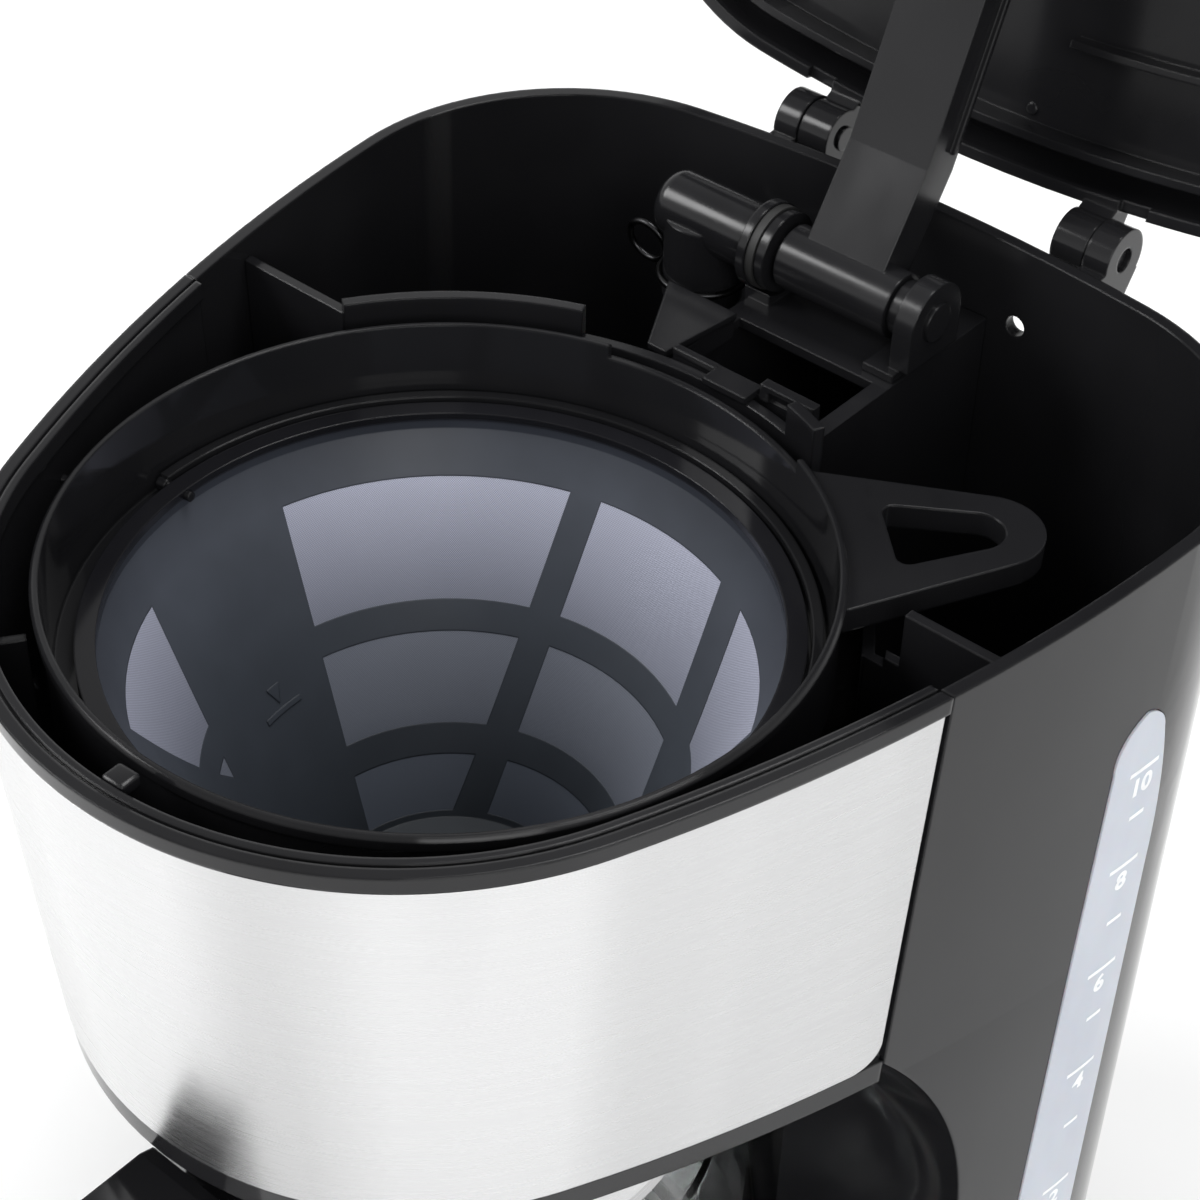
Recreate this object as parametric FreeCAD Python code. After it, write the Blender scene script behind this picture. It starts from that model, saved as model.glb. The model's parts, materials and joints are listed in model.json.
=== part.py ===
import FreeCAD, Part
import math
import os

# Drip coffee maker. Millimetres, +Z up, front of the machine towards -Y.
# Everything is drawn about the vertical axis of the filter basket, which is also the axis of
# the jug and the hot plate, and moved along Y by CENTRE_SHIFT_Y when a part is written, so that
# the origin lies under the middle of the whole object.

V = FreeCAD.Vector
CENTRE_SHIFT_Y = -54.1

# ---- Plan outline: nose circle, two long side arcs, two rear corners, one rear arc ----
NOSE_R = 74.3
NOSE_Y = -5.8
SIDE_R = 368.4
CORNER_R = 50.2
CORNER_X = 46.4
CORNER_Y = 83.9
REAR_Y = 137.3

# ---- Heights ----
FOOT_H = 2.5
FLOOR_T = 2.0
BASE_TOP = 36.0
PLATE_TOP = 38.5
TANK_FLOOR = 50.0
HEAD_BOTTOM = 172.0
STEEL_BOTTOM = 178.0
WELL_FLOOR = 181.2
RIM_Z = 262.0
RIM_FRONT_Z = 264.6
RIM_SLOPE = 1.2
RIM_FRONT_Y = -80.5
NOSE_TAPER = 7.0

# ---- Walls and seams ----
WALL = 2.6
STEEL_T = 0.8
TRIM_H = 3.4
TRIM_W = 4.4
SEAM_Y = 23.0
RECESS_R = 68.0
ARCH_FOOT_Y = 48.0
ARCH_FOOT_Z = 110.0
ARCH_TOP_Z = 177.0
PARTITION_Y = 37.5
WELL_R = 71.2
WELL_WALL = 2.2

# ---- Filter basket and filter ----
BASKET_R = 68.0
BASKET_WALL = 1.8
LEDGE_Z = 244.6
BASKET_FLOOR = 171.5
SUMP_Z = 168.5
BUTTON_Z = 156.7
HANDLE_AZ = 46.9
FILTER_RIM_Z = 247.5
FILTER_R = 60.0
FILTER_RIM_T = 2.8
FILTER_CONE = 0.52
FILTER_FLOOR = 174.6
FILTER_WALL = 1.4
MESH_T = 0.6
BAIL_AZ = 5.5
BAIL_Z = 248.2
BAIL_PIN_Z = 246.2
BAIL_PIN_R = 0.95

# ---- Spout arm, elbow and lid ----
ARM_Y = 113.0
ARM_Z = 261.0
ARM_HALF_W = 9.0
ARM_SWING = 113.3
ARM_T = 9.6
ELBOW_R = 6.8
RISER_X = -35.0
RISER_R = 5.0
COLUMN_HALF_W = 19.5
COLUMN_TOP = 251.0
HOLE_BACK_Y = 101.0
HINGE_Y = 147.0
HINGE_Z = 267.0
HINGE_R = 6.0
LID_OPEN = 103.0
LID_H = 17.0
LID_REACH = 4.5
PIN_R = 2.5
RUNNING = 0.06

# ---- Jug, hot plate, base ----
JUG_R = 63.5
JUG_BOTTOM = 38.7
GLASS = 2.2
NECK_R = 46.0
NECK_Z = 138.5
GRIP_TOP = 160.0
HOT_PLATE_R = 57.0


# ---------------------------------------------------------------- helpers
def box(x0, x1, y0, y1, z0, z1):
    return Part.makeBox(x1 - x0, y1 - y0, z1 - z0, V(x0, y0, z0))


def zcyl(r, z0, z1, x=0.0, y=0.0):
    return Part.makeCylinder(r, z1 - z0, V(x, y, z0))


def xcyl(r, x0, x1, y, z):
    return Part.makeCylinder(r, x1 - x0, V(x0, y, z), V(1, 0, 0))


def ycyl(r, y0, y1, x, z):
    return Part.makeCylinder(r, y1 - y0, V(x, y0, z), V(0, 1, 0))


def zring(r0, r1, z0, z1, x=0.0, y=0.0):
    return zcyl(r1, z0, z1, x, y).cut(zcyl(r0, z0 - 1, z1 + 1, x, y))


def sector(r0, r1, z0, z1, a0, a1):
    """Part of a flat ring between two azimuths in degrees."""
    outer = Part.makeCylinder(r1, z1 - z0, V(0, 0, z0), V(0, 0, 1), a1 - a0)
    outer.rotate(V(0, 0, 0), V(0, 0, 1), a0)
    return outer.cut(zcyl(r0, z0 - 1, z1 + 1)) if r0 > 0 else outer


def turned(points, x=0.0, y=0.0, angle=360.0):
    """A turned solid from (radius, height) points."""
    corners = [V(r, 0, z) for r, z in points]
    face = Part.Face(Part.makePolygon(corners + [corners[0]]))
    solid = face.revolve(V(0, 0, 0), V(0, 0, 1), angle)
    solid.translate(V(x, y, 0))
    return solid


def yz_prism(points, x0, x1):
    """A straight-edged side profile pushed along X."""
    corners = [V(x0, y, z) for y, z in points]
    face = Part.Face(Part.makePolygon(corners + [corners[0]]))
    return face.extrude(V(x1 - x0, 0, 0))


def fuse(first, *others):
    return first.fuse(list(others)).removeSplitter() if others else first


def polar(r, az, z):
    a = math.radians(az)
    return V(r * math.cos(a), r * math.sin(a), z)


def tube_path(points):
    """Straight runs joined by tangent arcs, as large as the runs allow."""
    edges = []
    here = points[0]
    for i in range(1, len(points) - 1):
        a = points[i - 1].sub(points[i])
        b = points[i + 1].sub(points[i])
        half = (math.pi - a.getAngle(b)) / 2
        reach = 0.45 * min(a.Length, b.Length)
        radius = reach / math.tan(half)
        a.normalize()
        b.normalize()
        start = points[i].add(V(a).multiply(reach))
        end = points[i].add(V(b).multiply(reach))
        middle = V(a).add(b)
        middle.normalize()
        centre_far = radius / math.cos(half)
        mid = points[i].add(middle.multiply(centre_far - radius))
        edges.append(Part.LineSegment(here, start).toShape())
        edges.append(Part.Arc(start, mid, end).toShape())
        here = end
    edges.append(Part.LineSegment(here, points[-1]).toShape())
    return Part.Wire(edges)


def hose(points, outer, inner=0.0):
    """A round hose or lead along a route of points."""
    path = tube_path([V(*p) for p in points])
    start = V(*points[0])
    along = V(*points[1]).sub(start)

    def swept(r):
        ring = Part.Wire(Part.makeCircle(r, start, along))
        return path.makePipeShell([ring], True, True)

    return swept(outer).cut(swept(inner)) if inner else swept(outer)


# ---------------------------------------------------------------- outline of the housing
def nose_taper(z):
    """How far the nose is drawn in at a height: nothing at the rim, the full taper under the head."""
    return NOSE_TAPER * min(1.0, (RIM_Z - z) / (RIM_Z - HEAD_BOTTOM))


def unit(a, b):
    d = b.sub(a)
    return d.multiply(1.0 / d.Length)


def outline(z, inset=0.0, taper=None, reach=0.0):
    """The plan outline as one closed wire of eight tangent arcs."""
    taper = nose_taper(z) if taper is None else taper
    nose_r = NOSE_R - inset - taper
    corner_r = CORNER_R - inset
    side_r = SIDE_R - inset
    nose = V(0, NOSE_Y, z)
    corner = V(CORNER_X, CORNER_Y + reach, z)
    # the side arc touches the nose circle and the corner circle from outside
    gap = corner.sub(nose)
    to_nose = side_r - nose_r
    to_corner = side_r - corner_r
    along = (to_nose ** 2 - to_corner ** 2 + gap.Length ** 2) / (2 * gap.Length)
    off = math.sqrt(to_nose ** 2 - along ** 2)
    g = unit(nose, corner)
    side = nose.add(V(g).multiply(along)).add(V(-g.y, g.x, 0).multiply(off))
    # the rear arc is centred on the middle plane and touches the corner circle
    rise = REAR_Y - CORNER_Y
    rear_r = (CORNER_X ** 2 + rise ** 2 - CORNER_R ** 2) / (2 * (rise - CORNER_R))
    rear = V(0, REAR_Y + reach - rear_r, z)
    rear_r -= inset
    p1 = side.add(unit(side, nose).multiply(side_r))
    p2 = side.add(unit(side, corner).multiply(side_r))
    p3 = rear.add(unit(rear, corner).multiply(rear_r))
    side_mid = side.add(unit(side, p1.add(p2).multiply(0.5)).multiply(side_r))
    corner_mid = corner.add(unit(corner, p2.add(p3).multiply(0.5)).multiply(corner_r))

    def left(p):
        return V(-p.x, p.y, p.z)

    arcs = [
        (left(p1), V(0, NOSE_Y - nose_r, z), p1),
        (p1, side_mid, p2),
        (p2, corner_mid, p3),
        (p3, V(0, rear.y + rear_r, z), left(p3)),
        (left(p3), left(corner_mid), left(p2)),
        (left(p2), left(side_mid), left(p1)),
    ]
    return Part.Wire([Part.Arc(*a).toShape() for a in arcs])


def hull(z0, z1, inset=0.0):
    """The housing's outer form, or a form inset from it, between two heights."""
    if z0 < HEAD_BOTTOM < z1:
        return fuse(hull(z0, HEAD_BOTTOM, inset), hull(HEAD_BOTTOM, z1, inset))
    return Part.makeLoft([outline(z0, inset), outline(z1, inset)], True, True)


def above_rim(drop=0.0):
    """Everything above the sloping plane of the rim, or above a plane lower by drop."""
    block = box(-200, 200, -100, 320, 0, 200)
    block.rotate(V(0, 0, 0), V(1, 0, 0), RIM_SLOPE)
    block.translate(V(0, RIM_FRONT_Y, RIM_FRONT_Z - drop))
    return block


def arch_block(offset, bottom, top):
    """Side profile of the tank column, whose front edge runs up into the brew head as an arch."""
    rise = ARCH_TOP_Z - ARCH_FOOT_Z
    run = ARCH_FOOT_Y - SEAM_Y
    radius = (run ** 2 + rise ** 2) / (2 * run)
    cy = ARCH_FOOT_Y - radius
    r = radius + offset
    z_seam = ARCH_FOOT_Z + math.sqrt(r ** 2 - (SEAM_Y - cy) ** 2)
    half = math.asin((z_seam - ARCH_FOOT_Z) / r) / 2
    x = -150.0
    foot = V(x, cy + r, ARCH_FOOT_Z)
    shoulder = V(x, SEAM_Y, z_seam)
    middle = V(x, cy + r * math.cos(half), ARCH_FOOT_Z + r * math.sin(half))
    rear_bottom = V(x, 250, bottom)
    rear_top = V(x, 250, top)
    front_top = V(x, SEAM_Y, top)
    front_bottom = V(x, cy + r, bottom)
    edges = [Part.Arc(foot, middle, shoulder).toShape()]
    chain = [shoulder, front_top, rear_top, rear_bottom, front_bottom, foot]
    edges += [Part.LineSegment(a, b).toShape() for a, b in zip(chain, chain[1:])]
    return Part.Face(Part.Wire(edges)).extrude(V(300, 0, 0))


# ---------------------------------------------------------------- base
def base_shell():
    z0 = FOOT_H + FLOOR_T
    body = hull(z0, BASE_TOP).cut(hull(z0 - 1, BASE_TOP - 2.4, WALL))
    body = body.cut(zcyl(HOT_PLATE_R + 1.6, BASE_TOP - 5, BASE_TOP + 1))
    body = body.cut(zcyl(7, BASE_TOP - 5, BASE_TOP + 1, 30, 100))
    body = body.cut(zcyl(7, BASE_TOP - 5, BASE_TOP + 1, RISER_X, ARM_Y))
    body = body.cut(box(-13.1, 13.1, -80, -60, SWITCH_Z - 8.1, SWITCH_Z + 8.1))
    body = body.cut(box(-15.1, 15.1, -80, SWITCH_Y + 3.05, SWITCH_Z - 10.1, SWITCH_Z + 10.1))
    body = body.cut(ycyl(5.2, 130, 145, 40, 16))
    for x, y in BASE_SCREWS:
        body = fuse(body, zring(1.6, 4.0, z0, BASE_TOP - 1, x, y))
    return body


BASE_SCREWS = [(-67, 8), (67, 8), (-76, 84), (76, 84)]
FEET = [(-46, -38), (46, -38), (-62, 104), (62, 104)]


def base_plate():
    plate = hull(FOOT_H, FOOT_H + FLOOR_T, 0.4)
    for x, y in FEET:
        plate = plate.cut(zcyl(3.0, 0, 10, x, y))
    for x, y in BASE_SCREWS:
        plate = plate.cut(zcyl(1.9, 0, 10, x, y))
    for i in range(-3, 4):
        plate = plate.cut(box(-22, 22, 50 + 7 * i - 1.2, 50 + 7 * i + 1.2, 0, 10))
    return plate


def rubber_feet():
    feet = []
    for x, y in FEET:
        foot = turned([(0, 0), (8, 0), (9, FOOT_H), (3.0, FOOT_H), (3.0, 5.5), (0, 5.5)], x, y)
        feet.append(foot)
    return Part.makeCompound(feet)


def base_screws():
    screws = []
    for x, y in BASE_SCREWS:
        low = FOOT_H - 1.6
        profile = [(0, low), (3.4, low + 0.4), (3.4, FOOT_H), (1.5, FOOT_H), (1.5, 16), (0, 16)]
        screws.append(turned(profile, x, y))
    return Part.makeCompound(screws)


def hot_plate():
    r = HOT_PLATE_R
    top = PLATE_TOP
    return turned([(0, top - 1.4), (r - 3, top - 1.4), (r - 3, top - 3.6), (r - 1.8, top - 3.6),
                   (r - 1.8, top - 1.0), (r, top - 1.0), (r - 1.0, top), (0, top)])


def plate_seal():
    r = HOT_PLATE_R
    z = BASE_TOP
    return turned([(r - 1.7, z - 2.6), (r + 1.4, z - 2.6), (r + 1.4, z - 0.05), (r + 1.4, z + 0.1),
                   (r + 2.6, z + 0.1), (r + 2.2, z + 1.2), (r - 1.7, z + 1.2)])


HEATER_R = 34.0
HEATER_Z = 31.2


def horseshoe(section_r, z, radius, tail, x_gap):
    """A round bar bent into a horseshoe open to the rear, with two straight tails."""
    start = V(x_gap, radius + tail, z)
    path = Part.Wire([
        Part.LineSegment(start, V(x_gap, 0, z)).toShape(),
        Part.Arc(V(x_gap, 0, z), V(0, -x_gap, z), V(-x_gap, 0, z)).toShape(),
        Part.LineSegment(V(-x_gap, 0, z), V(-x_gap, radius + tail, z)).toShape(),
    ])
    ring = Part.Wire(Part.makeCircle(section_r, start, V(0, -1, 0)))
    return path.makePipeShell([ring], True, True)


def heater_element():
    return horseshoe(4.0, HEATER_Z, HEATER_R, 0, HEATER_R)


def heater_water_tube():
    outer = horseshoe(3.6, HEATER_Z - 8.0, HEATER_R, 16, HEATER_R)
    return outer.cut(horseshoe(2.6, HEATER_Z - 8.0, HEATER_R, 16.5, HEATER_R))


def heater_clamp():
    plate = box(-HEATER_R - 6, HEATER_R + 6, -6, 6, HEATER_Z - 13.4, HEATER_Z - 11.8)
    return fuse(plate, zcyl(2.0, HEATER_Z - 14, PLATE_TOP - 1.4))


def thermostat():
    body = zcyl(8, 27.0, 33.5, 0, 30)
    return fuse(body, zcyl(6, 33.5, PLATE_TOP - 1.4, 0, 30), box(-11, 11, 27.5, 32.5, 26, 27))


def thermal_fuse():
    return xcyl(2.0, -18, 18, 44, 18).fuse(xcyl(0.6, -24, 24, 44, 18)).removeSplitter()


def check_valve():
    body = zring(2.6, 5.0, 26.0, TANK_FLOOR, 30, 100)
    return fuse(body, zring(4.9, 6.8, TANK_FLOOR - 2.4, TANK_FLOOR, 30, 100))


def cold_hose():
    route = [(30, 100, 25.9), (30, 100, 14), (36, 90, 12), (HEATER_R, 70, HEATER_Z - 8),
             (HEATER_R, 50.3, HEATER_Z - 8)]
    return hose(route, 4.0, 2.8)


def hot_hose():
    z = HEATER_Z - 8
    route = [(-HEATER_R, 50.3, z), (-HEATER_R, 74, z), (-38, 96, 12), (RISER_X, ARM_Y, 14),
             (RISER_X, ARM_Y, 39.8)]
    return hose(route, 4.0, 2.8)


def cord_bush():
    flange = ycyl(7.0, 137.2, 139.6, 40, 16).fuse(ycyl(5.1, 128, 137.2, 40, 16))
    bush = flange.removeSplitter()
    return bush.cut(ycyl(3.6, 120, 145, 40, 16))


def terminal_block():
    block = box(28, 52, 112, 122, FOOT_H + FLOOR_T, 16)
    for i in range(3):
        block = block.cut(zcyl(1.6, 12, 20, 33 + 7 * i, 117))
    return block


def wiring():
    leads = [
        hose([(33, 111.4, 10), (30, 100, 9.5), (16, 60, 8), (8, 10, 8), (4, -52, 14)], 1.2),
        hose([(47, 111.4, 10), (60, 98, 8), (62, 60, 7), (34, -20, 9), (8, -52, 14)], 1.2),
    ]
    return Part.makeCompound(leads)


# ---------------------------------------------------------------- power switch
SWITCH_Z = 20.0
SWITCH_Y = -74.6


def switch_bezel():
    frame = box(-15, 15, SWITCH_Y, SWITCH_Y + 3.0, SWITCH_Z - 10, SWITCH_Z + 10)
    frame = frame.makeFillet(2.5, [e for e in frame.Edges if along_axis(e, V(0, 1, 0))])
    tunnel = box(-13.0, 13.0, SWITCH_Y + 1, -56, SWITCH_Z - 8, SWITCH_Z + 8)
    opening = box(-10.2, 10.2, SWITCH_Y - 5, -58, SWITCH_Z - 7.2, SWITCH_Z + 7.2)
    body = fuse(frame, tunnel).cut(opening)
    return body.cut(xcyl(1.2, -12.4, 12.4, SWITCH_Y + 7, SWITCH_Z))


def along_axis(edge, direction):
    if len(edge.Vertexes) != 2:
        return False
    d = edge.Vertexes[1].Point.sub(edge.Vertexes[0].Point)
    return d.Length > 0 and d.cross(direction).Length < 1e-6


def switch_rocker():
    y = SWITCH_Y
    profile = [(y - 1.2, SWITCH_Z - 5.4), (y + 0.8, SWITCH_Z), (y + 0.8, SWITCH_Z + 5.4),
               (y + 7, SWITCH_Z + 5.0), (y + 10, SWITCH_Z + 2), (y + 10, SWITCH_Z - 2),
               (y + 7, SWITCH_Z - 5.0)]
    rocker = yz_prism(profile, -9.8, 9.8)
    return fuse(rocker, xcyl(1.14, -12.0, 12.0, y + 7, SWITCH_Z))


# ---------------------------------------------------------------- rear housing with the tank
def level_profile(grow, x0, x1):
    """Outline of the level window seen from the side: leaf-shaped top, wider at the bottom."""
    g = grow
    foot_front, foot_rear = V(x0, 65.4 - g, 72 - g), V(x0, 85.5 + g, 72 - g)
    front, rear = V(x0, 68.7 - g, 222), V(x0, 85.5 + g, 190)
    shoulder, tip = V(x0, 81.5 + g, 226.5), V(x0, 75.5, 233.2 + g)
    edges = [
        Part.LineSegment(front, foot_front).toShape(),
        Part.LineSegment(foot_front, foot_rear).toShape(),
        Part.LineSegment(foot_rear, rear).toShape(),
        Part.Arc(rear, V(x0, 84.3 + g, 212.5), shoulder).toShape(),
        Part.Arc(shoulder, V(x0, 79.1 + g, 231.2 + g), tip).toShape(),
        Part.Arc(tip, V(x0, 71.0 - g, 230.2 + g), front).toShape(),
    ]
    return Part.Face(Part.Wire(edges)).extrude(V(x1 - x0, 0, 0))


def rear_housing():
    outer = hull(BASE_TOP, 290).common(arch_block(0.0, BASE_TOP, 290)).cut(above_rim())
    inner_wall = zcyl(RECESS_R + WALL, 0, WELL_FLOOR - 1.4)
    cavity = hull(BASE_TOP + 1, 295, WALL).common(arch_block(WALL, TANK_FLOOR + WALL, 300))
    skirt = hull(BASE_TOP - 1, TANK_FLOOR, WALL).common(arch_block(WALL, 0, TANK_FLOOR))
    body = outer.cut(cavity.cut(inner_wall)).cut(skirt.cut(inner_wall))
    body = body.cut(zcyl(RECESS_R, 0, 300))
    body = body.cut(level_profile(0.15, 60, 120))
    body = body.cut(zcyl(5.1, 40, 60, 30, 100)).cut(zcyl(5.1, 40, 60, RISER_X, ARM_Y))
    body = body.cut(ycyl(2.2, 125, 145, 26, 252))
    ears = []
    for x in (-40.0, 34.5):
        ear = yz_prism([(133.5, 238), (136, 238), (HINGE_Y + 5.6, HINGE_Z - 4), (HINGE_Y, HINGE_Z),
                        (133.5, HINGE_Z - 1)], x, x + 5.5)
        ears.append(fuse(ear, xcyl(HINGE_R + 0.4, x, x + 5.5, HINGE_Y, HINGE_Z)))
    body = fuse(body, *[e.cut(hull(200, 290, WALL / 2)) for e in ears])
    return body.cut(xcyl(PIN_R, -45, 45, HINGE_Y, HINGE_Z))


def level_window():
    """Clear strip let into the right wall, standing a little proud of it."""
    band = hull(60, 172, -0.3).cut(hull(59, 173, WALL))
    upper = hull(172, 240, -0.3).cut(hull(171.9, 241, WALL))
    return fuse(band, upper).common(level_profile(0.0, 60, 120))


def centre_column():
    """Hollow column between the two halves of the tank; its ledge carries the arm's pivot."""
    w = COLUMN_HALF_W
    column = box(-w, w, 75.6, 134.0, 62, COLUMN_TOP)
    column = column.cut(box(-w + 2, w - 2, 77.6, 132, 60, COLUMN_TOP - 2.2))
    column = column.cut(box(-w + 3.5, w - 3.5, 77.6, HOLE_BACK_Y, 200, 300))
    shelf = yz_prism([(75.6, COLUMN_TOP + 6), (75.6, COLUMN_TOP + 4.6), (97, COLUMN_TOP + 2.6),
                      (97, COLUMN_TOP + 4)], -31, -14)
    spare = Part.Face(Part.makePolygon([V(-50, 60, 240), V(-18.5, 75.6, 240), V(-32.5, 99.6, 240),
                                        V(-50, 99.6, 240), V(-50, 60, 240)])).extrude(V(0, 0, 40))
    shelf = shelf.cut(spare)
    wall = box(-16.4, -14.4, 75.6, 97, COLUMN_TOP - 2, COLUMN_TOP + 3)
    saddle = box(-20.5, -14.5, ARM_Y - 5, ARM_Y + 5, COLUMN_TOP - 1, ARM_Z - 4)
    column = fuse(column, shelf, wall, saddle)
    column = column.cut(xcyl(9.05, -22, -12, ARM_Y, ARM_Z))
    return column.common(hull(50, 290, WALL + 0.2)).cut(zcyl(WELL_R + WELL_WALL + 0.3, 0, 300))


# ---------------------------------------------------------------- brew head
def front_shell():
    shell = hull(HEAD_BOTTOM, 285, STEEL_T + 0.1).cut(hull(HEAD_BOTTOM - 0.01, 290, WALL + STEEL_T))
    flange = hull(HEAD_BOTTOM, STEEL_BOTTOM - 0.1, 0.2).cut(
        hull(HEAD_BOTTOM - 0.01, STEEL_BOTTOM, WALL))
    body = fuse(shell.cut(above_rim(TRIM_H + 0.1)), flange)
    body = body.common(box(-120, 120, -120, SEAM_Y - 0.3, 0, 400))
    for az in (200, 235, 305, 340):
        rib = box(60, 90, -0.8, 0.8, HEAD_BOTTOM + 20, RIM_Z - 6)
        rib.rotate(V(0, 0, 0), V(0, 0, 1), az)
        rib = rib.common(hull(HEAD_BOTTOM, 285, WALL)).cut(zcyl(BASKET_R + 1.2, 0, 300))
        body = fuse(body, rib)
    return body


def steel_panel():
    """Brushed steel wrap round the front of the brew head, with rounded lower corners."""
    band = hull(HEAD_BOTTOM, 285, 0.0).cut(hull(HEAD_BOTTOM - 0.01, 290, STEEL_T))
    side = box(-120, 120, -120, SEAM_Y - 1.4, STEEL_BOTTOM, 300)
    corner = [e for e in side.Edges
              if along_axis(e, V(1, 0, 0)) and e.CenterOfMass.y > 0 and e.CenterOfMass.z < 200]
    return band.common(side.makeFillet(6.0, corner)).cut(above_rim(TRIM_H))


def top_trim():
    """Black bead round the front of the rim, with a fine groove along the middle of its top."""
    ring = hull(240, 285, 0.0).cut(hull(239.9, 290, TRIM_W))
    ring = ring.common(above_rim(TRIM_H)).cut(above_rim())
    groove = hull(240, 285, 2.3).cut(hull(239.9, 290, 2.9)).common(above_rim(0.7))
    return ring.cut(groove).common(box(-120, 120, -120, SEAM_Y - 0.3, 0, 400))


def well_deck():
    """Inner moulding of the brew head: floor, seat for the basket, arc wall and partitions."""
    inner = WALL + STEEL_T + 0.3
    front = hull(HEAD_BOTTOM, HEAD_BOTTOM + 2.4, inner).common(
        box(-120, 120, -120, SEAM_Y - 0.5, 0, 400))
    rear = box(-120, 120, SEAM_Y - 0.5, 200, 0, 400)
    floor = fuse(front, zcyl(RECESS_R - 0.6, HEAD_BOTTOM, HEAD_BOTTOM + 2.4).common(rear))
    skirt = zring(65.2, RECESS_R - 0.6, HEAD_BOTTOM, WELL_FLOOR + 2.2).common(rear)
    flange = zring(65.2, WELL_R + WELL_WALL, WELL_FLOOR, WELL_FLOOR + 2.2).common(rear)
    side = hull(WELL_FLOOR, WELL_FLOOR + 2.2, WALL + 0.25).cut(zcyl(65.2, 0, 400))
    side = side.common(box(-120, 120, SEAM_Y, PARTITION_Y + 2.2, 0, 400))
    start = math.degrees(math.asin(PARTITION_Y / WELL_R))
    wall = sector(WELL_R, WELL_R + WELL_WALL, WELL_FLOOR, 265.0, start, 180 - start)
    top = RIM_Z + 1.0
    partition = hull(WELL_FLOOR + 1, top, WALL + 0.5).common(
        box(-120, 120, PARTITION_Y, PARTITION_Y + 2.0, WELL_FLOOR, top))
    partition = partition.cut(zcyl(WELL_R + 0.5, 0, 400))
    body = fuse(floor, skirt, flange, side, wall, partition)
    body = body.cut(zcyl(40.6, 0, HEAD_BOTTOM + 5))
    # lower stretches of the arc wall: under the basket's handle and under the spout arm
    body = body.cut(sector(WELL_R - 1, WELL_R + 4, 250, 300, 30, 67))
    body = body.cut(sector(WELL_R - 1, WELL_R + 4, 258.6, 300, 74, 112))
    body = body.cut(box(40, 68, PARTITION_Y - 1, PARTITION_Y + 4, 252, 300))
    return body


def latch_clip():
    """Stepped clip on the arc wall, behind the basket, that takes the lid's catch."""
    foot = box(-11, 22, 74.0, 75.4, 252, 259.0)
    step = box(-1, 9, 70.2, 75.4, 258.7, 260.2)
    hook = box(10, 22, 73.2, 75.4, 258.9, 262.4)
    hook = hook.cut(box(12, 20, 73.0, 74.4, 258.8, 261.2))
    left = box(-11, -1, 73.8, 75.4, 258.9, 260.3)
    return fuse(foot, step, hook, left)


# ---------------------------------------------------------------- water path and spout arm
def riser_tube():
    return zring(RISER_R - 1.5, RISER_R, 40.0, 249.0, RISER_X, ARM_Y)


def tank_grommets():
    rings = [zring(RISER_R, 7.2, TANK_FLOOR + WALL, TANK_FLOOR + WALL + 2, RISER_X, ARM_Y),
             zring(2.6, 7.2, TANK_FLOOR + WALL, TANK_FLOOR + WALL + 2, 30, 100)]
    return Part.makeCompound(rings)


def water_elbow():
    barrel = xcyl(ELBOW_R, -44.5, -14.5, ARM_Y, ARM_Z)
    ends = [e for e in barrel.Edges if e.CenterOfMass.x < -40 and len(e.Vertexes) < 2]
    barrel = barrel.makeFillet(3.2, ends)
    leg = zcyl(8.2, 243.0, ARM_Z, RISER_X, ARM_Y)
    collar = xcyl(9.0, -20.5, -18.6, ARM_Y, ARM_Z).fuse(xcyl(8.2, -16.6, -14.5, ARM_Y, ARM_Z))
    spigot = xcyl(4.0, -16, -6, ARM_Y, ARM_Z)
    body = fuse(barrel, leg, collar, spigot)
    bore = fuse(xcyl(2.8, -36, 0, ARM_Y, ARM_Z), zcyl(2.8, 245, ARM_Z + 2, RISER_X, ARM_Y))
    return body.cut(bore).cut(zcyl(RISER_R, 240, 249.0, RISER_X, ARM_Y))


def elbow_seal():
    outer = xcyl(8.6, -18.5, -16.7, ARM_Y, ARM_Z)
    return outer.cut(xcyl(ELBOW_R, -25, 0, ARM_Y, ARM_Z))


def hose_clip():
    """Wire spring clip round the elbow's leg, with its finger loop standing out to the left."""
    band = Part.makeTorus(8.9, 0.7, V(RISER_X, ARM_Y, 247.5))
    ear = Part.makeTorus(4.6, 0.7, V(RISER_X - 13.4, ARM_Y - 1.5, 250.0), V(0, 1, 0.2))
    return fuse(band, ear.cut(zcyl(8.3, 240, 270, RISER_X, ARM_Y)))


def pivot_bracket():
    plate = fuse(box(16.6, 21.0, ARM_Y - 8, ARM_Y + 8, COLUMN_TOP, ARM_Z),
                 xcyl(8.0, 16.6, 21.0, ARM_Y, ARM_Z))
    boss = xcyl(5.6, 13.4, 16.6, ARM_Y, ARM_Z)
    foot = box(12, 21, ARM_Y - 10, ARM_Y + 10, COLUMN_TOP, COLUMN_TOP + 1.8)
    body = fuse(plate, boss, foot).cut(xcyl(6.9, 9, 13.3, ARM_Y, ARM_Z))
    return body.cut(xcyl(4.0, 9, 22, ARM_Y, ARM_Z)).cut(box(18.99, 22, 90, 140, 250, 252.9))


def arm_pin():
    return xcyl(4.0, 4.0, 21.6, ARM_Y, ARM_Z)


ARM_BEND = 9.7
ARM_LOW = 26.0
ARM_TIP_Y = -8.0


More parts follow.
